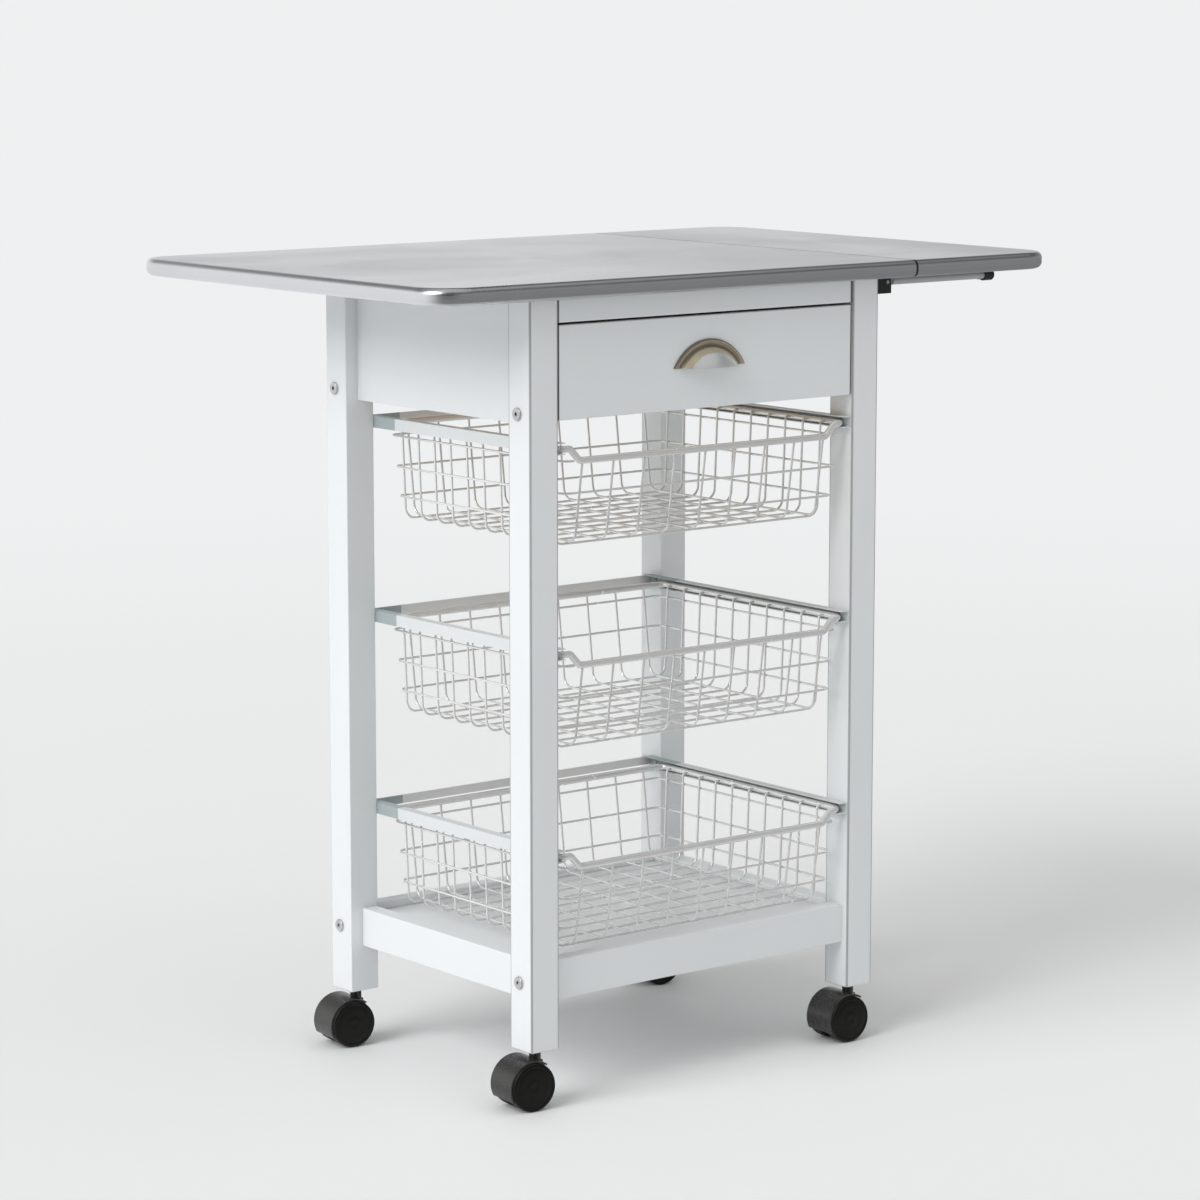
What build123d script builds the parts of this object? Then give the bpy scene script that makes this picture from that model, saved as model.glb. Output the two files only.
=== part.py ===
from build123d import *
import os
from math import sqrt

# Kitchen cart: a leg frame on twin-wheel casters, a drawer, three wire baskets and a drop-leaf top.
# Millimetres. The origin is on the floor under the middle of the top, +Z up, front towards -Y.

os.makedirs("parts", exist_ok=True)

# Frame of legs and rails
leg_section = 35.0
leg_length = 757.0
leg_edge_round = 1.2
body_width = 460.0
body_depth = 348.0
panel_thickness = 15.0
rail_thickness = 18.0
side_inset = 15.0
end_inset = 8.0
panel_below_front = 4.5
top_rail_height = 24.0
cross_rail_height = 18.0
cross_rail_lift = 1.0
low_rail_height = 41.0
low_rail_lift = 49.0
shelf_thickness = 5.0
shelf_drop = 8.0
groove_depth = 6.0
groove_clearance = 0.2
edge_arris = 0.8

# Top and leaf
top_thickness = 18.0
top_depth = 546.0
leaf_width = 205.0
seam_gap = 1.0
top_corner_radius = 40.0
top_edge_round = 7.0
overhang_left = 125.5
overhang_right = 34.5
overhang_front = 22.0

# Casters
caster_head_room = 10.0
wheel_diameter = 50.0
wheel_width = 15.5
wheel_wall = 3.0
wheel_edge_round = 2.5
wheel_hub_diameter = 13.0
hood_web = 11.0
web_clearance = 0.5
web_inset = 4.0
web_front_angle = 150.0
hood_wall = 1.6
hood_clearance = 1.0
hood_set_in = 2.0
hood_rear_angle = -28.0
hood_front_angle = 125.0
neck_diameter = 12.0
neck_sink = 2.5
neck_web_sink = 16.0
caster_trail = 13.0
caster_collar = 1.5
stem_diameter = 7.0
stem_in_leg = 36.0
stem_in_hood = 22.0
socket_wall = 1.6
axle_diameter = 5.0
axle_cover = 3.5
caster_turn = {("front", "left"): 174, ("back", "left"): 173, ("front", "right"): 178, ("back", "right"): 175}

# Bolts, nuts, dowels and screws
fit = 0.05
bolt_diameter = 6.0
bolt_head_diameter = 13.0
bolt_head_height = 2.2
bolt_socket_across = 4.0
bolt_socket_depth = 1.4
bolt_setback = 20.0
bolt_past_nut = 3.0
low_bolt_lift = 21.0
upper_bolt_lift = 12.0
nut_diameter = 10.0
nut_length = 10.0
nut_setback = 22.0
dowel_diameter = 8.0
dowel_length = 30.0
dowel_end_gap = 0.5
dowel_in_top = 10.0
screw_diameter = 3.5
screw_length = 12.0
screw_head_diameter = 7.0
screw_head_height = 1.6
screw_slot_width = 1.0
screw_slot_depth = 0.7

# Leaf hinges
hinge_length = 60.0
hinge_plate_reach = 26.0
hinge_plate_thickness = 1.5
hinge_drop = 3.0
hinge_barrel_radius = 2.7
hinge_pin_diameter = 3.0
hinge_knuckle_gap = 0.4
hinge_end_knuckle = 18.0
hinge_spread = 340.0
hinge_screw_spread = 36.0

# Stay under the leaf
stay_rod_diameter = 8.0
stay_reach = 154.0
stay_flat_thickness = 4.0
stay_flat_length = 14.0
stay_eye_radius = 5.0
stay_slot_clearance = 0.2
stay_pin_diameter = 4.0
stay_pivot_setback = 6.5
stay_block_width = 27.0
stay_block_depth = 20.0
stay_block_height = 17.0
stay_block_round = 3.0
stay_screw_seat = 4.5
elbow_diameter = 12.0
elbow_arm_cover = 7.5
elbow_arm_end = 2.0
elbow_bar_cover = 15.0

# Drawer
front_setback = 1.5
drawer_front_height = 94.0
drawer_front_thickness = 12.0
drawer_top_gap = 2.5
drawer_side_gap = 1.5
drawer_back_gap = 11.5
drawer_side_drop = 8.0
drawer_wall = 12.0
drawer_bottom_thickness = 4.0
drawer_bottom_lift = 5.0
drawer_groove_depth = 5.0
drawer_lift = 2.0
strip_height = 14.0
strip_bite = 5.0
strip_lift = 24.0
strip_end_gap = 0.5
strip_clearance = 0.5
rest_gap = 0.3

# Cup pull
pull_width = 93.0
pull_height = 28.0
pull_projection = 20.0
pull_wall = 1.6
pull_flange = 5.6
pull_flange_thickness = 1.8
pull_bead_radius = 1.5
pull_bead_inset = 0.4
pull_lift = 42.0
pull_boss_diameter = 8.0
pull_screw_spread = 50.0
pull_screw_lift = 6.0
pull_screw_diameter = 4.0
pull_screw_grip = 5.0
pull_screw_head_diameter = 8.0
pull_screw_head_height = 2.5

# Baskets and their runners
basket_count = 3
basket_clearance = 1.0
runner_height = 12.0
runner_width = 10.5
runner_wall = 1.0
runner_setback = 2.0
runner_back_setback = 18.0
runner_top_drop = 143.0
rear_bar_gap = 1.0
rear_bar_thickness = 2.0
rear_bar_height = 9.0
rear_bar_lift = 2.0
rear_tab_length = 14.0
rear_tab_thickness = 1.5
rim_diameter = 7.0
rim_side_clearance = 0.6
rim_corner_radius = 10.0
rim_front_setback = 6.5
rim_back_setback = 30.0
rim_front_drop = 12.5
rim_slope_start = 13.0
rim_slope_run = 12.0
rim_slope_radius = 5.0
wire_diameter = 2.4
weld_gap = 0.1
hook_length = 8.5
hook_radius = 3.0
wall_lean = 4.0
end_lean = 12.0
basket_depth = 99.0
bottom_bend_radius = 12.0
ring_corner_radius = 9.0
ring_drops = (45.0, 76.0)
upper_ring_end = 7.0
wires_across = 9
wires_deep = 10
wire_margin_across = 20.0
wire_margin_front = 26.0
wire_margin_back = 18.0

# Places that follow from the sizes
top_fixed_width = overhang_left + body_width + overhang_right
top_left = -(top_fixed_width + seam_gap + leaf_width) / 2
top_front = -top_depth / 2
seam_x = top_left + top_fixed_width + seam_gap / 2
leg_left = top_left + overhang_left
leg_right = leg_left + body_width
leg_front = top_front + overhang_front
leg_back = leg_front + body_depth
caster_height = wheel_diameter + caster_head_room
leg_bottom = caster_height
top_under = leg_bottom + leg_length
body_x = (leg_left + leg_right) / 2
body_y = (leg_front + leg_back) / 2
inner_width = body_width - 2 * leg_section
inner_depth = body_depth - 2 * leg_section

SIDES = {"left": -1, "right": 1}
ENDS = {"front": -1, "back": 1}
CORNERS = [(end, side) for end in ENDS for side in SIDES]
outer_x = {"left": leg_left, "right": leg_right}
inner_x = {side: body_x + out * inner_width / 2 for side, out in SIDES.items()}
inner_y = {end: body_y + out * inner_depth / 2 for end, out in ENDS.items()}
leg_x = {side: body_x + out * (body_width - leg_section) / 2 for side, out in SIDES.items()}
leg_y = {end: body_y + out * (body_depth - leg_section) / 2 for end, out in ENDS.items()}

bolt_y = {end: leg_y[end] - leg_section / 2 + bolt_setback for end in ENDS}
low_rail_bottom = leg_bottom + low_rail_lift
low_rail_top = low_rail_bottom + low_rail_height
shelf_top = low_rail_top - shelf_drop
panel_x = {side: outer_x[side] - out * (side_inset + panel_thickness / 2) for side, out in SIDES.items()}
low_side_x = {side: outer_x[side] - out * (side_inset + rail_thickness / 2) for side, out in SIDES.items()}
low_end_y = {
    "front": leg_front + end_inset + rail_thickness / 2,
    "back": leg_back - end_inset - rail_thickness / 2,
}
shelf_width = low_side_x["right"] - low_side_x["left"] - rail_thickness + 2 * groove_depth
shelf_depth = low_end_y["back"] - low_end_y["front"] - rail_thickness + 2 * groove_depth
back_panel_y = leg_back - end_inset - panel_thickness / 2
face_y = leg_front + front_setback
top_rail_bottom = top_under - top_rail_height
top_rail_y = face_y + rail_thickness / 2
drawer_front_bottom = top_rail_bottom - drawer_top_gap - drawer_front_height
drawer_front_back = face_y + drawer_front_thickness
cross_rail_bottom = drawer_front_bottom + cross_rail_lift
panel_bottom = drawer_front_bottom - panel_below_front
side_panel_height = top_under - panel_bottom
bolt_levels = [low_rail_bottom + low_bolt_lift, panel_bottom + upper_bolt_lift]
cross_rail_y = drawer_front_back + rest_gap + rail_thickness / 2

dowel_reach = dowel_length / 2
dowel_bore = dowel_diameter / 2 + fit
panel_dowel_levels = (panel_bottom + 22.0, top_under - 22.0)
low_dowel_levels = (low_rail_bottom + 10.0, low_rail_top - 10.0)
low_dowel_x = {side: outer_x[side] - out * (side_inset + 6.5) for side, out in SIDES.items()}
top_rail_dowel_level = top_under - top_rail_height / 2
leg_dowel_x = {side: outer_x[side] - out * 13.0 for side, out in SIDES.items()}
screw_bore = screw_diameter / 2 + fit
socket_radius = stem_diameter / 2 + fit + socket_wall

runner_top_level = top_under - runner_top_drop - runner_height
runner_low_level = low_rail_top + basket_clearance + basket_depth
basket_pitch = (runner_top_level - runner_low_level) / (basket_count - 1)
runner_levels = [runner_top_level - i * basket_pitch for i in range(basket_count)]
runner_front = leg_front + runner_setback
runner_length = body_depth - runner_setback - runner_back_setback
runner_screw_y = {"front": leg_y["front"], "back": inner_y["back"] + 9.0}
rear_bar_y = runner_front + runner_length + rear_bar_gap
rear_tab_screw_y = rear_bar_y + rear_tab_length * 0.6
rear_screw_lift = rear_bar_lift + rear_bar_height / 2

stay_axis_z = top_under - rest_gap - elbow_diameter / 2
stay_pivot_x = leg_right + stay_block_width - stay_pivot_setback
stay_bar_x = stay_pivot_x + stay_reach
stay_block_top = top_under - 1.0
stay_screw_levels = (stay_block_top - stay_block_height / 4, stay_block_top - stay_block_height * 3 / 4)
hinge_z = top_under - hinge_drop
hinge_y = (-hinge_spread / 2, hinge_spread / 2)


def finish(piece, name, place=Location()):
    """Label one solid and write it where it stands."""
    piece.part.label = name
    shape = place * piece.part
    shape.label = name
    export_step(shape, f"parts/{name}.step")


def finish_group(solids, name):
    """Label several separate solids that share one node and write them."""
    export_step(Compound(children=list(solids), label=name), f"parts/{name}.step")


def block(x, y, bottom, width, depth, height, mode=Mode.ADD):
    """A board centred on a point in plan and standing on a level."""
    with BuildSketch(Plane((x, y, bottom))) as outline:
        Rectangle(width, depth)
    extrude(outline.sketch, amount=height, mode=mode)


def drill(point, out, radius, depth):
    """A round hole that opens at a point, facing out along a direction."""
    with Locations(Plane(point, z_dir=out)):
        Hole(radius=radius, depth=depth)


def peg(point, out, radius, length):
    """A plain round bar that starts at a point and runs along a direction."""
    with BuildSketch(Plane(point, z_dir=out)) as outline:
        Circle(radius)
    extrude(outline.sketch, amount=length)


# Legs
def make_leg(end, side):
    """A square leg with its bores for the caster, bolts, dowels and screws."""
    out = SIDES[side]
    with BuildPart() as leg:
        block(leg_x[side], leg_y[end], leg_bottom, leg_section, leg_section, leg_length)
        fillet(leg.edges().filter_by(Axis.Z), radius=leg_edge_round)
        chamfer(leg.faces().sort_by(Axis.Z)[0].edges(), length=edge_arris)
        drill((leg_x[side], leg_y[end], leg_bottom), (0, 0, -1), socket_radius + fit, stem_in_leg + 1.0)
        drill((leg_dowel_x[side], leg_y[end], top_under), (0, 0, 1), dowel_bore, dowel_length - dowel_in_top)
        for level in bolt_levels:
            drill((outer_x[side], bolt_y[end], level), (out, 0, 0), bolt_diameter / 2 + fit, leg_section)
        for level in panel_dowel_levels:
            drill((panel_x[side], inner_y[end], level), (0, -ENDS[end], 0), dowel_bore, dowel_reach)
        for level in low_dowel_levels:
            drill((low_dowel_x[side], inner_y[end], level), (0, -ENDS[end], 0), dowel_bore, dowel_reach)
        for level in runner_levels:
            mid = level + runner_height / 2
            drill((inner_x[side], runner_screw_y[end], mid), (-out, 0, 0), screw_bore, screw_length)
            if end == "back":
                spot = (inner_x[side], rear_tab_screw_y, level + rear_screw_lift)
                drill(spot, (-out, 0, 0), screw_bore, screw_length)
        if end == "front":
            drill((inner_x[side], top_rail_y, top_rail_dowel_level), (-out, 0, 0), dowel_bore, dowel_reach)
        if side == "right":
            for level in stay_screw_levels:
                drill((leg_right, leg_y[end], level), (1, 0, 0), screw_bore, screw_length - stay_screw_seat)
    finish(leg, f"leg_{end}_{side}")


for end, side in CORNERS:
    make_leg(end, side)


# Rails and panels
def bolted_ends(y, level, inner_face):
    """Bolt bores at both ends of a rail and barrel-nut bores drilled from its inner face."""
    facing = 1 if inner_face > y else -1
    depth = abs(inner_face - y) + nut_length / 2
    reach = nut_setback + nut_diameter / 2 + bolt_past_nut + 1.0
    for side, out in SIDES.items():
        drill((inner_x[side], y, level), (out, 0, 0), bolt_diameter / 2 + fit, reach)
        nut_x = inner_x[side] - out * nut_setback
        drill((nut_x, inner_face, level), (0, facing, 0), nut_diameter / 2 + fit, depth)


def shelf_groove():
    """The groove round the shelf board, cut from the rail being made."""
    width = shelf_width + 2 * groove_clearance
    depth = shelf_depth + 2 * groove_clearance
    height = shelf_thickness + 2 * groove_clearance
    block(body_x, body_y, shelf_top - shelf_thickness - groove_clearance, width, depth, height, Mode.SUBTRACT)


for end, out in ENDS.items():
    with BuildPart() as low_end_rail:
        block(body_x, low_end_y[end], low_rail_bottom, inner_width, rail_thickness, low_rail_height)
        fillet(low_end_rail.edges().filter_by(Axis.X), radius=edge_arris)
        bolted_ends(bolt_y[end], bolt_levels[0], low_end_y[end] - out * rail_thickness / 2)
        shelf_groove()
    finish(low_end_rail, f"low_rail_{end}")

for side in SIDES:
    with BuildPart() as low_side_rail:
        block(low_side_x[side], body_y, low_rail_bottom, rail_thickness, inner_depth, low_rail_height)
        fillet(low_side_rail.edges().filter_by(Axis.Y), radius=edge_arris)
        for end, out in ENDS.items():
            for level in low_dowel_levels:
                drill((low_dowel_x[side], inner_y[end], level), (0, out, 0), dowel_bore, dowel_reach)
        shelf_groove()
    finish(low_side_rail, f"low_rail_{side}")

    with BuildPart() as side_panel:
        block(panel_x[side], body_y, panel_bottom, panel_thickness, inner_depth, side_panel_height)
        fillet(side_panel.faces().sort_by(Axis.Z)[0].edges().filter_by(Axis.Y), radius=edge_arris)
        for end, out in ENDS.items():
            for level in panel_dowel_levels:
                drill((panel_x[side], inner_y[end], level), (0, out, 0), dowel_bore, dowel_reach)
    finish(side_panel, f"side_panel_{side}")

with BuildPart() as shelf_board:
    block(body_x, body_y, shelf_top - shelf_thickness, shelf_width, shelf_depth, shelf_thickness)
    notch = leg_section + 2 * groove_clearance
    for end, side in CORNERS:
        level = shelf_top - shelf_thickness
        block(leg_x[side], leg_y[end], level, notch, notch, shelf_thickness, Mode.SUBTRACT)
finish(shelf_board, "shelf_board")

with BuildPart() as back_panel:
    block(body_x, back_panel_y, panel_bottom, inner_width, panel_thickness, side_panel_height)
    fillet(back_panel.faces().sort_by(Axis.Z)[0].edges().filter_by(Axis.X), radius=edge_arris)
    bolted_ends(bolt_y["back"], bolt_levels[1], back_panel_y - panel_thickness / 2)
finish(back_panel, "back_panel")

with BuildPart() as front_top_rail:
    block(body_x, top_rail_y, top_rail_bottom, inner_width, rail_thickness, top_rail_height)
    fillet(front_top_rail.faces().sort_by(Axis.Z)[0].edges().filter_by(Axis.X), radius=edge_arris)
    for side, out in SIDES.items():
        drill((inner_x[side], top_rail_y, top_rail_dowel_level), (out, 0, 0), dowel_bore, dowel_reach)
finish(front_top_rail, "front_top_rail")

with BuildPart() as drawer_cross_rail:
    block(body_x, cross_rail_y, cross_rail_bottom, inner_width, rail_thickness, cross_rail_height)
    bolted_ends(bolt_y["front"], bolt_levels[1], cross_rail_y + rail_thickness / 2)
finish(drawer_cross_rail, "drawer_cross_rail")


# Frame fasteners
def make_bolt(end, side, level):
    """A flat-headed bolt with a hexagon socket, seated on the leg's outer face."""
    seat = Plane((outer_x[side], bolt_y[end], level), z_dir=(SIDES[side], 0, 0))
    shank = leg_section + nut_setback + nut_diameter / 2 + bolt_past_nut
    with BuildPart() as bolt:
        with BuildSketch(seat):
            Circle(bolt_head_diameter / 2)
        extrude(amount=bolt_head_height)
        fillet(bolt.edges().sort_by(Axis.X)[-1 if side == "right" else 0], radius=bolt_socket_depth / 2)
        with BuildSketch(seat):
            Circle(bolt_diameter / 2)
        extrude(amount=-shank)
        with BuildSketch(seat.offset(bolt_head_height)):
            RegularPolygon(radius=bolt_socket_across / 2, side_count=6, major_radius=False)
        extrude(amount=-bolt_socket_depth, mode=Mode.SUBTRACT)
    return bolt.part


def make_nut(end, side, level):
    """A barrel nut lying across the bolt."""
    x = inner_x[side] - SIDES[side] * nut_setback
    with BuildPart() as nut:
        peg((x, bolt_y[end] - nut_length / 2, level), (0, 1, 0), nut_diameter / 2, nut_length)
        drill((x + nut_diameter / 2, bolt_y[end], level), (1, 0, 0), bolt_diameter / 2 + fit, nut_diameter)
    return nut.part


def make_dowel(centre, along):
    """A beech dowel with a small gap left at both ends of its bores."""
    length = dowel_length - 2 * dowel_end_gap
    with BuildPart() as dowel:
        with BuildSketch(Plane(centre, z_dir=along)):
            Circle(dowel_diameter / 2)
        extrude(amount=length / 2, both=True)
    return dowel.part


def make_screw(seat, out, length=screw_length):
    """A pan-head screw whose head sits on a face and points out of it."""
    plane = Plane(seat, z_dir=out)
    with BuildPart() as screw:
        with BuildSketch(plane):
            Circle(screw_head_diameter / 2)
        extrude(amount=screw_head_height, taper=12)
        with BuildSketch(plane):
            Circle(screw_diameter / 2)
        extrude(amount=-length)
        with BuildSketch(plane.offset(screw_head_height)):
            Rectangle(screw_head_diameter, screw_slot_width)
        extrude(amount=-screw_slot_depth, mode=Mode.SUBTRACT)
    return screw.part


finish_group([make_bolt(end, side, level) for end, side in CORNERS for level in bolt_levels], "leg_bolts")
finish_group([make_nut(end, side, level) for end, side in CORNERS for level in bolt_levels], "barrel_nuts")

dowels = []
for end, side in CORNERS:
    for level in panel_dowel_levels:
        dowels.append(make_dowel((panel_x[side], inner_y[end], level), (0, 1, 0)))
    for level in low_dowel_levels:
        dowels.append(make_dowel((low_dowel_x[side], inner_y[end], level), (0, 1, 0)))
    middle = top_under + dowel_in_top - dowel_length / 2
    dowels.append(make_dowel((leg_dowel_x[side], leg_y[end], middle), (0, 0, 1)))
for side in SIDES:
    dowels.append(make_dowel((inner_x[side], top_rail_y, top_rail_dowel_level), (1, 0, 0)))
finish_group(dowels, "dowels")


# Fixed top and drop leaf
def hinge_screw_spots(out):
    """Screw places on one hinge plate of each hinge."""
    x = seam_x + out * hinge_plate_reach * 0.62
    return [(x, y + step) for y in hinge_y for step in (-hinge_screw_spread / 2, hinge_screw_spread / 2)]


def make_board(out, start_x, width):
    """A board with rounded outer corners and edges and a square edge at the seam."""
    x = start_x + out * width / 2
    with BuildPart() as board:
        block(x, 0, top_under, width, top_depth, top_thickness)
        outer = board.faces().sort_by(Axis.X)[-1 if out > 0 else 0]
        fillet(outer.edges().filter_by(Axis.Z), radius=top_corner_radius)
        rims = board.faces().filter_by(Axis.Z).edges()
        seam_edges = board.faces().sort_by(Axis.X)[0 if out > 0 else -1].edges()
        fillet(rims - seam_edges, radius=top_edge_round)
        for spot in hinge_screw_spots(out):
            drill((*spot, top_under), (0, 0, -1), screw_bore, screw_length)
        if out < 0:
            for end, side in CORNERS:
                drill((leg_dowel_x[side], leg_y[end], top_under), (0, 0, -1), dowel_bore, dowel_in_top)
    return board


finish(make_board(-1, seam_x - seam_gap / 2, top_fixed_width), "tabletop")
finish(make_board(1, seam_x + seam_gap / 2, leaf_width), "leaf")


# Leaf hinges
def make_hinge_plate(out, y):
    """One plate of a hinge: the fixed one has the two end knuckles, the leaf's one the middle knuckle."""
    middle = hinge_length - 2 * hinge_end_knuckle
    ends = [(-1, hinge_end_knuckle), (1, hinge_end_knuckle)]
    own = ends if out < 0 else [(0, middle - 2 * hinge_knuckle_gap)]
    others = [(0, middle)] if out < 0 else ends
    room = 0 if out < 0 else 2 * hinge_knuckle_gap
    clear = hinge_barrel_radius + hinge_knuckle_gap
    step = (hinge_length - hinge_end_knuckle) / 2
    level = top_under - hinge_plate_thickness
    with BuildPart() as plate:
        reach = hinge_plate_reach - rest_gap
        block(seam_x + out * (rest_gap + reach / 2), y, level, reach, hinge_length, hinge_plate_thickness)
        for place, length in own:
            peg((seam_x, y + place * step - length / 2, hinge_z), (0, 1, 0), hinge_barrel_radius, length)
        for place, length in others:
            spot = y + place * step
            block(seam_x, spot, level, 2 * clear, length + room, hinge_plate_thickness, Mode.SUBTRACT)
        bore = hinge_pin_diameter / 2 + fit
        drill((seam_x, y - hinge_length / 2, hinge_z), (0, -1, 0), bore, hinge_length)
        for spot in hinge_screw_spots(out):
            if abs(spot[1] - y) < hinge_length / 2:
                drill((*spot, top_under), (0, 0, 1), screw_bore, hinge_plate_thickness)
    return plate.part


def make_pin(start, diameter, length):
    """A plain pin along Y."""
    with BuildPart() as pin:
        peg(start, (0, 1, 0), diameter / 2, length)
    return pin.part


finish_group([make_hinge_plate(-1, y) for y in hinge_y], "hinge_plates_fixed")
finish_group([make_hinge_plate(1, y) for y in hinge_y], "hinge_plates_leaf")
pin_starts = [(seam_x, y - hinge_length / 2, hinge_z) for y in hinge_y]
hinge_pins = [make_pin(start, hinge_pin_diameter, hinge_length) for start in pin_starts]
finish_group(hinge_pins, "hinge_pins")
plate_face = top_under - hinge_plate_thickness
leaf_screws = [make_screw((*spot, plate_face), (0, 0, -1)) for spot in hinge_screw_spots(1)]
finish_group(leaf_screws, "leaf_screws")


# Stay: two forked blocks with pins, a bail of rods and its elbows
def make_stay_block(y):
    """A forked block on the leg, with two sunk screws and a cross bore for the pivot pin."""
    slot = stay_flat_thickness + 2 * stay_slot_clearance
    end_x = leg_right + stay_block_width
    bottom = stay_block_top - stay_block_height
    with BuildPart() as fork:
        middle = leg_right + stay_block_width / 2
        block(middle, y, bottom, stay_block_width, stay_block_depth, stay_block_height)
        fillet(fork.faces().sort_by(Axis.X)[-1].edges(), radius=stay_block_round)
        slot_start = stay_pivot_x - stay_eye_radius - 0.6
        slot_length = end_x - slot_start
        block(slot_start + slot_length / 2, y, bottom, slot_length, slot, stay_block_height, Mode.SUBTRACT)
        for level in stay_screw_levels:
            depth = stay_block_width - stay_screw_seat
            drill((end_x, y, level), (1, 0, 0), screw_head_diameter / 2 + 0.3, depth)
            drill((leg_right + stay_screw_seat, y, level), (1, 0, 0), screw_bore, stay_screw_seat)
        bore = stay_pin_diameter / 2 + fit
        drill((stay_pivot_x, y - stay_block_depth / 2, stay_axis_z), (0, -1, 0), bore, stay_block_depth)
    return fork.part


def make_stay_arm(y):
    """A rod with a flattened, bored end at its pivot."""
    with BuildPart() as arm:
        with BuildSketch(Plane((stay_pivot_x, y, stay_axis_z), x_dir=(1, 0, 0), z_dir=(0, -1, 0))):
            Circle(stay_eye_radius)
            with Locations((stay_flat_length / 2, 0)):
                Rectangle(stay_flat_length, stay_rod_diameter)
            Circle(stay_pin_diameter / 2 + fit, mode=Mode.SUBTRACT)
        extrude(amount=stay_flat_thickness / 2, both=True)
        length = stay_reach + elbow_arm_end - stay_flat_length
        peg((stay_pivot_x + stay_flat_length, y, stay_axis_z), (1, 0, 0), stay_rod_diameter / 2, length)
    return arm.part


def make_elbow(end):
    """A moulded elbow over the end of an arm and of the cross bar."""
    inward = -ENDS[end]
    bore = stay_rod_diameter / 2 + fit
    start = (stay_bar_x - elbow_arm_cover, leg_y[end], stay_axis_z)
    mouth = (stay_bar_x, leg_y[end] + inward * elbow_bar_cover, stay_axis_z)
    with BuildPart() as elbow:
        peg(start, (1, 0, 0), elbow_diameter / 2, elbow_arm_cover + elbow_diameter / 2)
        fillet(elbow.edges().sort_by(Axis.X)[-1], radius=2.0)
        peg((stay_bar_x, leg_y[end], stay_axis_z), (0, inward, 0), elbow_diameter / 2, elbow_bar_cover)
        drill(start, (-1, 0, 0), bore, elbow_arm_cover + elbow_arm_end + rest_gap)
        drill(mouth, (0, inward, 0), bore, elbow_bar_cover)
    return elbow.part


stay_bar_inset = stay_rod_diameter / 2 + rest_gap
stay_bar_length = leg_y["back"] - leg_y["front"] - 2 * stay_bar_inset
stay_bar_start = (stay_bar_x, leg_y["front"] + stay_bar_inset, stay_axis_z)
stay_rods = [make_stay_arm(leg_y[end]) for end in ENDS]
stay_rods.append(make_pin(stay_bar_start, stay_rod_diameter, stay_bar_length))
stay_pins = []
for end in ENDS:
    start = (stay_pivot_x, leg_y[end] - stay_block_depth / 2, stay_axis_z)
    stay_pins.append(make_pin(start, stay_pin_diameter, stay_block_depth))
finish_group([make_stay_block(leg_y[end]) for end in ENDS], "stay_blocks")
finish_group(stay_pins, "stay_pins")
finish_group(stay_rods, "stay_rods")
finish_group([make_elbow(end) for end in ENDS], "stay_elbows")

# Drawer box
drawer_width = inner_width - 2 * drawer_side_gap
drawer_bottom_level = cross_rail_bottom + cross_rail_height + drawer_lift
drawer_side_height = drawer_front_bottom + drawer_front_height - drawer_side_drop - drawer_bottom_level
drawer_back = back_panel_y - panel_thickness / 2 - drawer_back_gap
drawer_box_length = drawer_back - drawer_front_back
drawer_mid_y = (drawer_front_back + drawer_back) / 2
bottom_level = drawer_bottom_level + drawer_bottom_lift
bottom_width = drawer_width - 2 * drawer_wall + 2 * drawer_groove_depth
bottom_length = drawer_box_length - drawer_wall + 2 * drawer_groove_depth
bottom_y = drawer_front_back - drawer_groove_depth + bottom_length / 2
strip_level = drawer_bottom_level + strip_lift
strip_width = leg_section - side_inset - panel_thickness + drawer_side_gap + strip_bite
lip_level = drawer_front_bottom + pull_lift
pull_screw_x = [body_x + out * pull_screw_spread / 2 for out in SIDES.values()]
pull_screw_level = lip_level + pull_screw_lift
pull_screw_bore = pull_screw_diameter / 2 + fit


def bottom_groove():
    """The groove round the drawer bottom, cut from the piece being made."""
    level = bottom_level - groove_clearance
    width = bottom_width + 2 * groove_clearance
    length = bottom_length + 2 * groove_clearance
    height = drawer_bottom_thickness + 2 * groove_clearance
    block(body_x, bottom_y, level, width, length, height, Mode.SUBTRACT)


with BuildPart() as drawer_front:
    mid_y = face_y + drawer_front_thickness / 2
    block(body_x, mid_y, drawer_front_bottom, drawer_width, drawer_front_thickness, drawer_front_height)
    fillet(drawer_front.faces().sort_by(Axis.Y)[0].edges(), radius=leg_edge_round)
    bottom_groove()
    for x in pull_screw_x:
        drill((x, face_y, pull_screw_level), (0, -1, 0), pull_screw_bore, drawer_front_thickness)
finish(drawer_front, "drawer_front")

for side, out in SIDES.items():
    with BuildPart() as drawer_side:
        x = body_x + out * (drawer_width - drawer_wall) / 2
        block(x, drawer_mid_y, drawer_bottom_level, drawer_wall, drawer_box_length, drawer_side_height)
        fillet(drawer_side.faces().sort_by(Axis.Z)[-1].edges().filter_by(Axis.Y), radius=edge_arris)
        bottom_groove()
        length = drawer_box_length - drawer_wall
        depth = strip_bite + strip_clearance
        groove_x = body_x + out * (drawer_width - depth) / 2
        level = strip_level - strip_clearance
        height = strip_height + strip_clearance + rest_gap
        block(groove_x, drawer_back - length / 2, level, depth, length, height, Mode.SUBTRACT)
    finish(drawer_side, f"drawer_side_{side}")

with BuildPart() as drawer_back_wall:
    width = drawer_width - 2 * drawer_wall
    block(body_x, drawer_back - drawer_wall / 2, drawer_bottom_level, width, drawer_wall, drawer_side_height)
    fillet(drawer_back_wall.faces().sort_by(Axis.Z)[-1].edges().filter_by(Axis.X), radius=edge_arris)
    bottom_groove()
finish(drawer_back_wall, "drawer_back")

with BuildPart() as drawer_bottom:
    block(body_x, bottom_y, bottom_level, bottom_width, bottom_length, drawer_bottom_thickness)
finish(drawer_bottom, "drawer_bottom")

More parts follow.
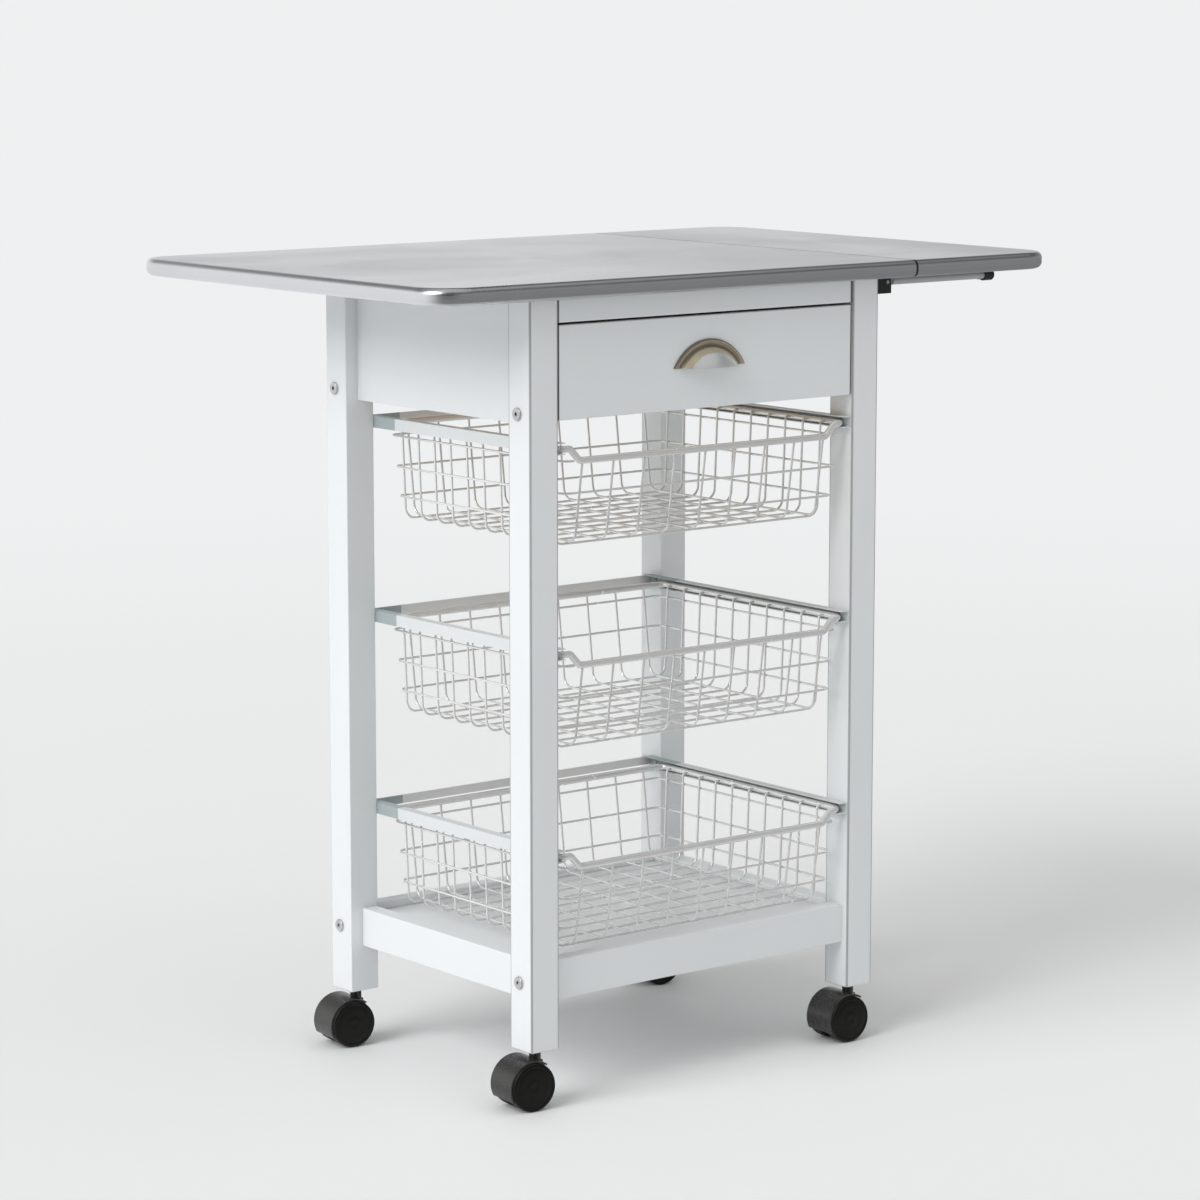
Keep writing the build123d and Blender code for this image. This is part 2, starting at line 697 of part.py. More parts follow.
drawer_strips = []
for side, out in SIDES.items():
    with BuildPart() as drawer_strip:
        x = panel_x[side] - out * (panel_thickness + strip_width) / 2
        block(x, body_y, strip_level, strip_width, inner_depth - 2 * strip_end_gap, strip_height)
        fillet(drawer_strip.edges().filter_by(Axis.Y), radius=edge_arris)
    drawer_strips.append(drawer_strip.part)
finish_group(drawer_strips, "drawer_strips")

# Cup pull
pull_radius = (pull_width**2 / 4 + pull_height**2) / (2 * pull_height)
pull_axis_drop = pull_radius - pull_height
pull_seat_radius = pull_radius - pull_flange
pull_depth = (pull_seat_radius**2 - pull_axis_drop**2 - pull_projection**2) / (2 * pull_projection)
pull_dome_radius = sqrt(pull_seat_radius**2 + pull_depth**2)
pull_centre = (body_x, face_y, lip_level - pull_axis_drop)
pull_plane = Plane(pull_centre, x_dir=(0, 0, 1), z_dir=(1, 0, 0))
pull_axis = Axis(pull_centre, (0, -1, 0))


def dome_profile(radius):
    """Half of a dome's outline, bulging out of the drawer front."""
    edge = sqrt(radius**2 - pull_depth**2)
    crown = radius - pull_depth
    shoulder = edge * 0.7
    with BuildLine() as outline:
        Line((0, 0), (edge, 0))
        ThreePointArc((edge, 0), (shoulder, sqrt(radius**2 - shoulder**2) - pull_depth), (0, crown))
        Line((0, crown), (0, 0))
    make_face(outline.edges())


with BuildPart() as pull_hollow:
    with BuildSketch(pull_plane):
        dome_profile(pull_dome_radius - pull_wall)
    revolve(axis=pull_axis)
    for x in pull_screw_x:
        with BuildSketch(Plane((x, face_y, pull_screw_level), z_dir=(0, -1, 0))):
            Circle(pull_boss_diameter / 2)
        extrude(amount=pull_projection + pull_depth, mode=Mode.SUBTRACT)

with BuildPart() as cup_pull:
    with BuildSketch(pull_plane):
        dome_profile(pull_dome_radius)
        with Locations((pull_radius / 2, pull_flange_thickness / 2)):
            Rectangle(pull_radius, pull_flange_thickness)
        with Locations((pull_radius - pull_bead_radius - pull_bead_inset, pull_flange_thickness)):
            Circle(pull_bead_radius)
    revolve(axis=pull_axis)
    add(pull_hollow.part, mode=Mode.SUBTRACT)
    size = 2 * pull_radius
    block(body_x, face_y, lip_level - size, size + 4, size, size, Mode.SUBTRACT)
    for x in pull_screw_x:
        drill((x, face_y, pull_screw_level), (0, 1, 0), pull_screw_bore, pull_screw_grip + 0.5)
finish(cup_pull, "cup_pull")

pull_screws = []
for x in pull_screw_x:
    seat = Plane((x, drawer_front_back, pull_screw_level), x_dir=(1, 0, 0), z_dir=(0, 1, 0))
    with BuildPart() as pull_screw:
        with BuildSketch(seat):
            Circle(pull_screw_head_diameter / 2)
        extrude(amount=pull_screw_head_height)
        with BuildSketch(seat):
            Circle(pull_screw_diameter / 2)
        extrude(amount=-(drawer_front_thickness + pull_screw_grip))
        with BuildSketch(seat.offset(pull_screw_head_height)):
            Rectangle(pull_screw_head_diameter * 0.65, screw_slot_width)
            Rectangle(screw_slot_width, pull_screw_head_diameter * 0.65)
        extrude(amount=-pull_screw_head_height / 2, mode=Mode.SUBTRACT)
    pull_screws.append(pull_screw.part)
finish_group(pull_screws, "pull_screws")


# Basket runners and rear bars
def make_runner(side, level):
    """A channel along the legs' inner faces, open towards the basket."""
    out = SIDES[side]
    mid_y = runner_front + runner_length / 2
    hollow = runner_width - runner_wall
    height = runner_height - 2 * runner_wall
    with BuildPart() as runner:
        x = inner_x[side] - out * runner_width / 2
        block(x, mid_y, level, runner_width, runner_length, runner_height)
        x = inner_x[side] - out * (runner_wall + hollow / 2)
        block(x, mid_y, level + runner_wall, hollow, runner_length, height, Mode.SUBTRACT)
        face = inner_x[side] - out * runner_wall
        for y in runner_screw_y.values():
            drill((face, y, level + runner_height / 2), (-out, 0, 0), screw_bore, runner_wall)
    return runner.part


def make_rear_bar(level):
    """A flat bar between the back legs with a tab bent back along each leg."""
    bottom = level + rear_bar_lift
    with BuildPart() as bar:
        bar_y = rear_bar_y + rear_bar_thickness / 2
        block(body_x, bar_y, bottom, inner_width, rear_bar_thickness, rear_bar_height)
        tab_y = rear_bar_y + rear_tab_length / 2
        for side, out in SIDES.items():
            x = inner_x[side] - out * rear_tab_thickness / 2
            block(x, tab_y, bottom, rear_tab_thickness, rear_tab_length, rear_bar_height)
            spot = (inner_x[side] - out * rear_tab_thickness, rear_tab_screw_y, level + rear_screw_lift)
            drill(spot, (-out, 0, 0), screw_bore, rear_tab_thickness)
    return bar.part


finish_group([make_runner(side, level) for level in runner_levels for side in SIDES], "basket_runners")
finish_group([make_rear_bar(level) for level in runner_levels], "rear_bars")

frame_screws = [make_screw((*spot, plate_face), (0, 0, -1)) for spot in hinge_screw_spots(-1)]
for end in ENDS:
    for level in stay_screw_levels:
        frame_screws.append(make_screw((leg_right + stay_screw_seat, leg_y[end], level), (1, 0, 0)))
for level in runner_levels:
    mid = level + runner_height / 2
    for side, out in SIDES.items():
        inward = (-out, 0, 0)
        for y in runner_screw_y.values():
            frame_screws.append(make_screw((inner_x[side] - out * runner_wall, y, mid), inward))
        face = inner_x[side] - out * rear_tab_thickness
        frame_screws.append(make_screw((face, rear_tab_screw_y, level + rear_screw_lift), inward))
finish_group(frame_screws, "frame_screws")


# Wire baskets
def make_rod(points, bends, diameter, first=0, last=None):
    """A rod along a line bent at its inner points; it can start or end in the middle of a bend."""
    spots = [Vector(*point) for point in points]
    last = len(spots) - 1 if last is None else last
    with BuildPart() as rod:
        with BuildLine() as path:
            start = spots[0]
            for i in range(max(first, 1), last + 1):
                if i == len(spots) - 1:
                    Line(start, spots[i])
                    break
                come = (spots[i] - spots[i - 1]).normalized()
                leave = (spots[i + 1] - spots[i]).normalized()
                turn = leave - come
                half = turn.length / 2
                tangent = bends[i - 1] * half / sqrt(1 - half**2)
                centre_gap = bends[i - 1] / sqrt(1 - half**2)
                middle = spots[i] + turn.normalized() * (centre_gap - bends[i - 1])
                bend_start = spots[i] - come * tangent
                bend_end = spots[i] + leave * tangent
                if i == first:
                    TangentArc(middle, bend_end, tangent=come + leave)
                else:
                    Line(start, bend_start)
                    TangentArc(bend_start, middle if i == last else bend_end, tangent=come)
                start = bend_end
        with BuildSketch(Plane(origin=path.line @ 0, z_dir=path.line % 0)):
            Circle(diameter / 2)
        sweep(path=path.line)
    return rod.part


rim_inset = runner_wall + screw_head_height + rim_side_clearance + rim_diameter / 2
rim_level = runner_levels[0] + runner_wall + rest_gap + rim_diameter / 2
rim_half = inner_width / 2 - rim_inset
wall_half = rim_half - hook_length
rim_front_y = leg_front + rim_front_setback
rim_back_y = rear_bar_y - rim_back_setback
floor_level = rim_level - basket_depth
wire_step = wire_diameter + weld_gap
rim_face = rim_diameter / 2 + weld_gap
across_pitch = 2 * (wall_half - wire_margin_across) / (wires_across - 1)
across_x = [body_x - wall_half + wire_margin_across + i * across_pitch for i in range(wires_across)]
first_deep_y = rim_front_y + wire_margin_front
deep_pitch = (rim_back_y - wire_margin_back - first_deep_y) / (wires_deep - 1)
deep_y = [first_deep_y + i * deep_pitch for i in range(wires_deep)]


def side_wire(first, last):
    """A stretch of the wire that runs down one side, across the floor and up the other side."""
    points = [
        (body_x - rim_half + rim_face, 0, rim_level),
        (body_x - wall_half, 0, rim_level),
        (body_x - wall_half + wall_lean, 0, floor_level),
        (body_x + wall_half - wall_lean, 0, floor_level),
        (body_x + wall_half, 0, rim_level),
        (body_x + rim_half - rim_face, 0, rim_level),
    ]
    bends = [hook_radius, bottom_bend_radius, bottom_bend_radius, hook_radius]
    return make_rod(points, bends, wire_diameter, first, last)


def end_wire(first, last):
    """A stretch of the wire that runs down the front, along the floor and up the back."""
    level = floor_level + wire_step
    points = [
        (0, rim_front_y, rim_level - rim_front_drop - rim_face),
        (0, rim_front_y + end_lean, level),
        (0, rim_back_y - end_lean, level),
        (0, rim_back_y, rim_level - rim_face),
    ]
    return make_rod(points, [bottom_bend_radius, bottom_bend_radius], wire_diameter, first, last)


def ring_corners(drop):
    """The corners of a ring wire round the wall wires, from the left back one round by the front."""
    share = drop / basket_depth
    x = wall_half - wall_lean * share + wire_step
    front = rim_front_y
    if drop > rim_front_drop:
        front += end_lean * (drop - rim_front_drop) / (basket_depth - rim_front_drop) - wire_step
    back = rim_back_y - end_lean * share + wire_step
    z = rim_level - drop
    return [(body_x - x, back, z), (body_x - x, front, z), (body_x + x, front, z), (body_x + x, back, z)]


WALL_START = {"left": 0, "front": 1, "right": 2, "back": 3}


def ring_stretch(drop, wall):
    """The stretch of a ring wire on one wall, from the middle of one corner to the next."""
    corners = ring_corners(drop)
    points = [corners[(WALL_START[wall] + i - 1) % 4] for i in range(4)]
    return make_rod(points, [ring_corner_radius] * 2, wire_diameter, 1, 2)


def upper_ring_side(out):
    """The side stretch of the upper ring, which turns round the front corner and ends at the rim's slope."""
    corners = ring_corners(rim_front_drop)
    x, front, z = corners[1 if out < 0 else 2]
    end_x = body_x + out * (rim_half - rim_slope_start - rim_slope_run + upper_ring_end)
    near, far = (corners[0], corners[3]) if out < 0 else (corners[3], corners[0])
    return make_rod([far, near, (x, front, z), (end_x, front, z)], [ring_corner_radius] * 2, wire_diameter, 1)


def rim_stretch(wall, first=1, last=None):
    """The stretch of the rim rod on one wall, or a part of it between the middles of two bends."""
    low = rim_level - rim_front_drop
    left, right = body_x - rim_half, body_x + rim_half
    foot = rim_slope_start + rim_slope_run
    front = [
        (left, rim_front_y, rim_level),
        (left + rim_slope_start, rim_front_y, rim_level),
        (left + foot, rim_front_y, low),
        (right - foot, rim_front_y, low),
        (right - rim_slope_start, rim_front_y, rim_level),
        (right, rim_front_y, rim_level),
    ]
    corners = [(left, rim_back_y, rim_level), front[0], front[-1], (right, rim_back_y, rim_level)]
    if wall == "front":
        slopes = [rim_slope_radius] * 4
        bends = [rim_corner_radius, *slopes, rim_corner_radius]
        return make_rod([corners[0], *front, corners[3]], bends, rim_diameter, first, last or 6)
    points = [corners[(WALL_START[wall] + i - 1) % 4] for i in range(4)]
    return make_rod(points, [rim_corner_radius] * 2, rim_diameter, 1, 2)


def repeat(rod, spots):
    """Copies of a rod at several places."""
    return [Location(spot) * rod for spot in spots]


deep_spots = [(0, y, 0) for y in deep_y]
across_spots = [(x, 0, 0) for x in across_x]
basket_rods = repeat(side_wire(0, 2), deep_spots)
basket_rods += repeat(side_wire(2, 3), deep_spots)
basket_rods += repeat(side_wire(3, 5), deep_spots)
basket_rods += repeat(end_wire(0, 1), across_spots)
basket_rods += repeat(end_wire(1, 2), across_spots)
basket_rods += repeat(end_wire(2, 3), across_spots)
basket_rods += [rim_stretch(wall) for wall in WALL_START if wall != "front"]
basket_rods += [rim_stretch("front", first, last) for first, last in ((1, 3), (3, 4), (4, 6))]
basket_rods += [ring_stretch(drop, wall) for drop in ring_drops for wall in WALL_START]
basket_rods += [ring_stretch(rim_front_drop, "back"), upper_ring_side(-1), upper_ring_side(1)]
for i in range(basket_count):
    lower = Location((0, 0, -i * basket_pitch))
    finish_group([lower * rod for rod in basket_rods], f"basket_{i + 1}")


# Casters
def wheel_profile(inner, outer):
    """Half of a wheel's section: hub, tread wall and closed outer disc."""
    rim = wheel_diameter / 2
    hub = wheel_hub_diameter / 2
    bore = axle_diameter / 2 + fit
    disc = outer - axle_cover
    with BuildLine() as outline:
        Polyline(
            (0, outer),
            (rim, outer),
            (rim, inner),
            (rim - wheel_wall, inner),
            (rim - wheel_wall, disc),
            (hub, disc),
            (hub, inner),
            (bore, inner),
            (bore, disc + rest_gap),
            (0, disc + rest_gap),
            (0, outer),
        )
    make_face(outline.edges())


def make_caster(end, side):
    """The hood, axle and two wheels of one caster, turned to where it stands."""
    name = f"{end}_{side}"
    place = Location((leg_x[side], leg_y[end], 0), (0, 0, caster_turn[end, side]))
    axle_z = wheel_diameter / 2
    centre = (caster_trail, axle_z)
    hood_inner = wheel_diameter / 2 + hood_clearance
    hood_outer = hood_inner + hood_wall
    half_track = hood_web / 2 + web_clearance + wheel_width
    neck_top = caster_height - caster_collar - rest_gap
    neck_bottom = wheel_diameter - neck_sink
    neck_web_bottom = wheel_diameter - neck_web_sink
    web_radius = wheel_diameter / 2 - web_inset

    with BuildPart() as hood:
        with BuildSketch(Plane.XZ):
            with Locations(centre):
                Circle(web_radius)
            with Locations((0, (neck_bottom + neck_web_bottom) / 2)):
                Rectangle(neck_diameter, neck_bottom - neck_web_bottom + 2)
            with BuildLine():
                arc = CenterArc(centre, hood_outer, hood_rear_angle, web_front_angle - hood_rear_angle)
                Line(arc @ 1, centre)
                Line(centre, arc @ 0)
            make_face()
        extrude(amount=hood_web / 2, both=True)
        with BuildSketch(Plane.XZ):
            with BuildLine():
                outer_arc = CenterArc(centre, hood_outer, hood_rear_angle, hood_front_angle - hood_rear_angle)
                inner_arc = CenterArc(centre, hood_inner, hood_rear_angle, hood_front_angle - hood_rear_angle)
                Line(outer_arc @ 0, inner_arc @ 0)
                Line(outer_arc @ 1, inner_arc @ 1)
            make_face()
        extrude(amount=half_track - hood_set_in, both=True)
        peg((0, 0, neck_bottom), (0, 0, 1), neck_diameter / 2, neck_top - neck_bottom)
        drill((0, 0, neck_top), (0, 0, 1), stem_diameter / 2 + fit, stem_in_hood + rest_gap)
        drill((caster_trail, -hood_web / 2, axle_z), (0, -1, 0), axle_diameter / 2 + fit, hood_web)
    finish(hood, f"caster_hood_{name}", place)

    with BuildPart() as axle:
        length = 2 * (half_track - axle_cover)
        peg((caster_trail, -length / 2, axle_z), (0, 1, 0), axle_diameter / 2, length)
    finish(axle, f"caster_axle_{name}", place)

    for letter, out in (("a", -1), ("b", 1)):
        with BuildPart() as wheel:
            with BuildSketch(Plane((caster_trail, 0, axle_z), x_dir=(1, 0, 0), z_dir=(0, 0, out))):
                wheel_profile(hood_web / 2 + web_clearance, half_track)
            revolve(axis=Axis((caster_trail, 0, axle_z), (0, 1, 0)))
            rims = wheel.edges().filter_by(GeomType.CIRCLE).group_by(SortBy.RADIUS)[-1]
            fillet(rims, radius=wheel_edge_round)
        finish(wheel, f"wheel_{name}_{letter}", place)


for end, side in CORNERS:
    make_caster(end, side)

sockets = []
stems = []
for end, side in CORNERS:
    x, y = leg_x[side], leg_y[end]
    with BuildPart() as socket:
        peg((x, y, leg_bottom), (0, 0, 1), socket_radius, stem_in_leg)
        drill((x, y, leg_bottom), (0, 0, -1), stem_diameter / 2 + fit, stem_in_leg)
    sockets.append(socket.part)
    with BuildPart() as stem:
        bottom = leg_bottom - caster_collar - rest_gap - stem_in_hood
        peg((x, y, bottom), (0, 0, 1), stem_diameter / 2, leg_bottom + stem_in_leg - bottom)
        peg((x, y, leg_bottom - caster_collar), (0, 0, 1), neck_diameter / 2, caster_collar)
    stems.append(stem.part)
finish_group(sockets, "caster_sockets")
finish_group(stems, "caster_stems")
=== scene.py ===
from math import cos, pi, radians, sin

import bmesh
import bpy
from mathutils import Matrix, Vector


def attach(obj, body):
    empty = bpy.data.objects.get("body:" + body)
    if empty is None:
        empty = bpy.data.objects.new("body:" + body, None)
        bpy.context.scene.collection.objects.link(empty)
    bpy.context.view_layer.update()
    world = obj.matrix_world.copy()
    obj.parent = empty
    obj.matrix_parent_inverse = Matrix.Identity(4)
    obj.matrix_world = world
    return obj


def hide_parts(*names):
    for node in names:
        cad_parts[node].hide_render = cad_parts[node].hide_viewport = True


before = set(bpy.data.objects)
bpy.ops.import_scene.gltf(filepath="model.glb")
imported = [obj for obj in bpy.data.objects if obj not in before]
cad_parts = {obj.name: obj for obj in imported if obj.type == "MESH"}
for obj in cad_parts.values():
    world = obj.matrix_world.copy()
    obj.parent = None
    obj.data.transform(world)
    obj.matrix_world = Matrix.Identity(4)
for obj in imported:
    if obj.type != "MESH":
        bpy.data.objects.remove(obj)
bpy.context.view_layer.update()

MM = 0.001

ENDS = ("front", "back")
SIDES = ("left", "right")
CORNERS = [(end, side) for end in ENDS for side in SIDES]

# Camera, floor and room: lengths in metres, turns in degrees, levels where 1 is white
CAMERA_PLACE = (-2.6723, -3.3438, 1.1430)
CAMERA_TURN = 38.64
CAMERA_DIP = 9.04
CAMERA_LENS = 120.4
FLOOR_SIZE = 60.0
FLOOR_FADE_SEEN = (1.6, 2.6)
FLOOR_FADE_MIRRORED = (0.2, 0.6)
WORLD_FILL = 0.46
LIT_SIDE = (-0.45, 0.89, 0.0)
CAMERA_SIDE = (-0.62, -0.77, 0.0)
UP = (0.0, 0.0, 1.0)
FLOOR_LEVELS = (0.27, 1.0)
WALL_LEVELS = (0.30, 1.0)
ROOM_TURN = (-0.10, 0.55)
BACKDROP = 0.875
ROOM_TINT = (0.985, 0.993, 1.0)
KEY_LIGHT = 1.82
TOP_LIGHT = 0.35

# Wheels and casters, in millimetres and degrees
WHEEL_RADIUS = 25.0
WHEEL_INNER = 6.0
WHEEL_OUTER = 21.5
WHEEL_HEIGHT = 25.0
CASTER_TRAIL = 13.0
RING_PITCH = 0.9
TREAD_EDGE = (24.1, 24.9)
CASTER_TURN = dict(zip(CORNERS, (174, 178, 173, 175)))
LEG_X = {"left": -270.0, "right": 155.0}
LEG_Y = {"front": -233.5, "back": 79.5}

# Cup pull: its centre in millimetres, and (radius in decimetres, 0 satin, 1 bronzed or 2 darkened)
PULL_CENTRE = (-57.5, -249.5, 713.89)
PULL_BANDS = ((0.385, 0), (0.395, 1), (0.435, 1), (0.445, 2), (0.475, 2), (0.485, 1), (0.505, 1), (0.512, 2))

# Painted shade lines at the top seam, the joints and the front legs' arrises, grey ends of runners and rear
# bars, in millimetres
SEAM_X = 207.5
SEAM_EDGE = 1.6
# Where the runners turn blue-grey towards their rear ends
RUNNER_GREY_START = 24.0
BAR_END = -205.7
LINE_FADE = 0.3
FRONT_JOINTS = ("X", 2.6, (-252.5, 137.5))
ARRIS_START = 15.8


# Node helpers
class Nodes:
    """A material or world node tree with short ways to add and link nodes."""

    def __init__(self, tree):
        self.tree = tree
        tree.nodes.clear()

    def add(self, kind, inputs=(), **settings):
        """A new node with its settings, and its inputs set to values or linked to sockets."""
        node = self.tree.nodes.new(kind)
        for key, value in settings.items():
            setattr(node, key, value)
        for key, value in dict(inputs).items():
            if isinstance(value, bpy.types.NodeSocket):
                self.tree.links.new(value, node.inputs[key])
            else:
                node.inputs[key].default_value = value
        return node

    def place(self, scale=(1, 1, 1)):
        """Places on the piece in metres times a scale along each axis."""
        where = self.add("ShaderNodeTexCoord").outputs["Object"]
        return self.add("ShaderNodeMapping", {"Vector": where, "Scale": scale}).outputs["Vector"]

    def noise(self, scale, stretch=(1, 1, 1), detail=3.0, roughness=0.55, distortion=0.0):
        """Smooth noise from 0 to 1 whose grains can be stretched along an axis."""
        settings = {"Vector": self.place(stretch), "Scale": scale, "Detail": detail}
        settings |= {"Roughness": roughness, "Distortion": distortion}
        return self.add("ShaderNodeTexNoise", settings).outputs["Fac"]

    def spread(self, value, low, high, start=0.0, end=1.0):
        """A value moved from the range start..end to low..high."""
        inputs = {"Value": value, "From Min": start, "From Max": end, "To Min": low, "To Max": high}
        return self.add("ShaderNodeMapRange", inputs).outputs["Result"]

    def maths(self, operation, first, second=0.5):
        """One arithmetic step on one or two values."""
        return self.add("ShaderNodeMath", {0: first, 1: second}, operation=operation).outputs[0]

    def either(self, switch, off, on):
        """One of two values by a switch from 0 to 1."""
        return self.add("ShaderNodeMix", {0: switch, 2: off, 3: on}, data_type="FLOAT").outputs[0]

    def blend(self, share, first, second):
        """A colour between two colours."""
        mix = self.add("ShaderNodeMix", data_type="RGBA")
        for key, value in ((0, share), (6, first), (7, second)):
            if isinstance(value, bpy.types.NodeSocket):
                self.tree.links.new(value, mix.inputs[key])
            else:
                mix.inputs[key].default_value = value if key == 0 else (*value, 1.0)
        return mix.outputs[2]

    def bump(self, height, depth, strength=1.0, under=None):
        """Relief from a height from 0 to 1, its depth in metres."""
        inputs = {"Height": height, "Distance": depth, "Strength": strength}
        if under is not None:
            inputs["Normal"] = under
        return self.add("ShaderNodeBump", inputs).outputs["Normal"]

    def reading(self, axis):
        """The place along one axis in metres."""
        where = self.add("ShaderNodeTexCoord").outputs["Object"]
        return self.add("ShaderNodeSeparateXYZ", {"Vector": where}).outputs[axis]

    def apart(self, axis, place):
        """How far a point stands from a place in millimetres along one axis, in metres."""
        return self.maths("ABSOLUTE", self.maths("SUBTRACT", self.reading(axis), MM * place))

    def along(self, vector, way):
        """The length of a vector along a way."""
        inputs = {0: vector, 1: way}
        return self.add("ShaderNodeVectorMath", inputs, operation="DOT_PRODUCT").outputs["Value"]

    def line(self, distance, width, strength):
        """A mask as strong as given up to a width in millimetres from a place."""
        return self.spread(distance, strength, 0.0, MM * (width - LINE_FADE), MM * (width + LINE_FADE))

    def ramp(self, value, stops):
        """A colour read from stops of (place from 0 to 1, colour)."""
        node = self.add("ShaderNodeValToRGB", {"Fac": value})
        points = node.color_ramp.elements
        while len(points) < len(stops):
            points.new(0.5)
        for point, (place, colour) in zip(points, stops):
            point.position = place
            point.color = (*colour, 1.0)
        return node.outputs["Color"]

    def corners(self, reach):
        """1 in the open and 0 deep in a corner or joint."""
        shade = self.add("ShaderNodeAmbientOcclusion", {"Distance": reach}, samples=4)
        return shade.outputs["AO"]

    def finish(self, colour, roughness, normal=None, **constants):
        """The surface shader and its output."""
        shader = self.add("ShaderNodeBsdfPrincipled")
        for key, value in constants.items():
            shader.inputs[key.replace("_", " ")].default_value = value
        for key, value in (("Base Color", colour), ("Roughness", roughness), ("Normal", normal)):
            if value is not None:
                self.tree.links.new(value, shader.inputs[key])
        self.add("ShaderNodeOutputMaterial", {"Surface": shader.outputs["BSDF"]})


def new_material(name):
    """An empty node material."""
    material = bpy.data.materials.new(name)
    material.use_nodes = True
    return material, Nodes(material.node_tree)


# Materials
def lacquered_wood(name, stretch, joints=None, post=None):
    """White satin lacquer over faint grain, with painted shade towards corners and under overhangs, painted
    shade lines in given open joints to the legs, and a painted shade line along a given post's arrises.
    """
    material, n = new_material(name)
    cloud = n.noise(5.0, detail=4.0)
    grain = n.noise(60.0, stretch, detail=6.0, roughness=0.65, distortion=0.6)
    peel = n.noise(650.0, detail=2.0)
    colour = n.blend(cloud, (0.785, 0.810, 0.820), (0.840, 0.866, 0.876))
    colour = n.blend(n.spread(grain, 0.0, 0.10, 0.55, 0.75), colour, (0.70, 0.72, 0.725))
    # Painted shade: grey-brown darkening towards corners, joints and under overhangs
    dust_and_shade = n.spread(n.corners(0.012), 0.35, 0.0, 0.20, 0.85)
    colour = n.blend(dust_and_shade, colour, (0.52, 0.51, 0.49))
    # Painted shade: near-black lines in the open joints to the legs
    if joints:
        axis, width, places = joints
        for place in places:
            colour = n.blend(n.line(n.apart(axis, place), width, 0.9), colour, (0.065, 0.065, 0.055))
    # Painted shade: a dark grey line along each of the post's arrises
    if post:
        outward = n.maths("MINIMUM", n.apart("X", post[0]), n.apart("Y", post[1]))
        arris_shade = n.spread(outward, 0.0, 0.62, MM * (ARRIS_START - 0.2), MM * (ARRIS_START + 0.2))
        colour = n.blend(arris_shade, colour, (0.13, 0.135, 0.12))
    roughness = n.spread(n.noise(28.0, detail=4.0), 0.30, 0.44)
    relief = n.bump(peel, 0.00002, 0.5)
    relief = n.bump(grain, 0.00010, 0.35, relief)
    n.finish(colour, roughness, relief, Coat_Weight=0.15, Coat_Roughness=0.25)
    return material


def steel_sheet(name):
    """Brushed steel with fine lines along the board, faint smears and scratches."""
    material, n = new_material(name)
    lines = n.noise(150.0, (0.5, 22.0, 22.0), detail=7.0, roughness=0.7)
    fine = n.noise(420.0, (0.4, 14.0, 14.0), detail=4.0, roughness=0.7)
    smear = n.noise(5.0, (1.0, 1.5, 1.0), detail=4.0, roughness=0.5, distortion=0.8)
    scratch = n.noise(26.0, (0.25, 6.0, 1.0), detail=9.0, roughness=0.8, distortion=1.0)
    colour = n.blend(lines, (0.665, 0.675, 0.69), (0.71, 0.72, 0.735))
    colour = n.blend(n.spread(smear, 0.0, 0.12, 0.5, 0.8), colour, (0.56, 0.565, 0.575))
    colour = n.blend(n.spread(scratch, 0.0, 0.16, 0.72, 0.80), colour, (0.74, 0.75, 0.76))
    # Painted shade: a dark line in the seam between top and leaf
    colour = n.blend(n.line(n.apart("X", SEAM_X), SEAM_EDGE, 0.85), colour, (0.10, 0.10, 0.10))
    roughness = n.maths("ADD", n.spread(lines, 0.25, 0.31), n.spread(smear, -0.01, 0.05, 0.35, 0.75))
    relief = n.bump(lines, 0.000003, 0.5)
    relief = n.bump(fine, 0.000002, 0.4, relief)
    n.finish(colour, roughness, relief, Metallic=1.0, Anisotropic=0.3)
    return material


def plated_metal(name, dark, light, rough):
    """Plated steel with cloudy grains, fine rub marks and painted shade towards corners."""
    material, n = new_material(name)
    cells = n.add("ShaderNodeTexVoronoi", {"Vector": n.place(), "Scale": 120.0, "Randomness": 1.0})
    cloud = n.noise(22.0, detail=5.0, distortion=0.8)
    rub = n.noise(260.0, (1.0, 6.0, 1.0), detail=6.0, roughness=0.8)
    tint = n.add("ShaderNodeSeparateColor", {"Color": cells.outputs["Color"]}).outputs["Red"]
    colour = n.blend(n.spread(tint, 0.1, 0.9), dark, light)
    colour = n.blend(n.spread(cloud, 0.0, 0.35, 0.45, 0.8), colour, tuple(0.8 * c for c in dark))
    # Painted shade: darker towards corners and joints
    corner_shade = n.spread(n.corners(0.004), 0.5, 0.0, 0.2, 0.8)
    colour = n.blend(corner_shade, colour, tuple(0.45 * c for c in dark))
    roughness = n.spread(rub, rough - 0.06, rough + 0.10, 0.3, 0.75)
    n.finish(colour, roughness, n.bump(rub, 0.00001, 0.4), Metallic=1.0)
    return material


def bright_wire(name):
    """Bright plated wire, a little cloudy along its length, dull at the welds and with painted shade where
    wires meet.
    """
    material, n = new_material(name)
    cloud = n.noise(45.0, detail=5.0, distortion=0.5)
    draw = n.noise(900.0, detail=3.0)
    colour = n.blend(cloud, (0.82, 0.82, 0.81), (0.92, 0.92, 0.91))
    # Painted shade: darker where wires meet; the same mask makes the welds duller
    crossing_shade = n.spread(n.corners(0.0022), 0.5, 0.0, 0.20, 0.60)
    colour = n.blend(crossing_shade, colour, (0.42, 0.415, 0.40))
    roughness = n.maths("ADD", n.spread(cloud, 0.14, 0.28, 0.3, 0.7), n.maths("MULTIPLY", crossing_shade, 0.35))
    n.finish(colour, roughness, n.bump(draw, 0.000008, 0.4), Metallic=0.5)
    return material


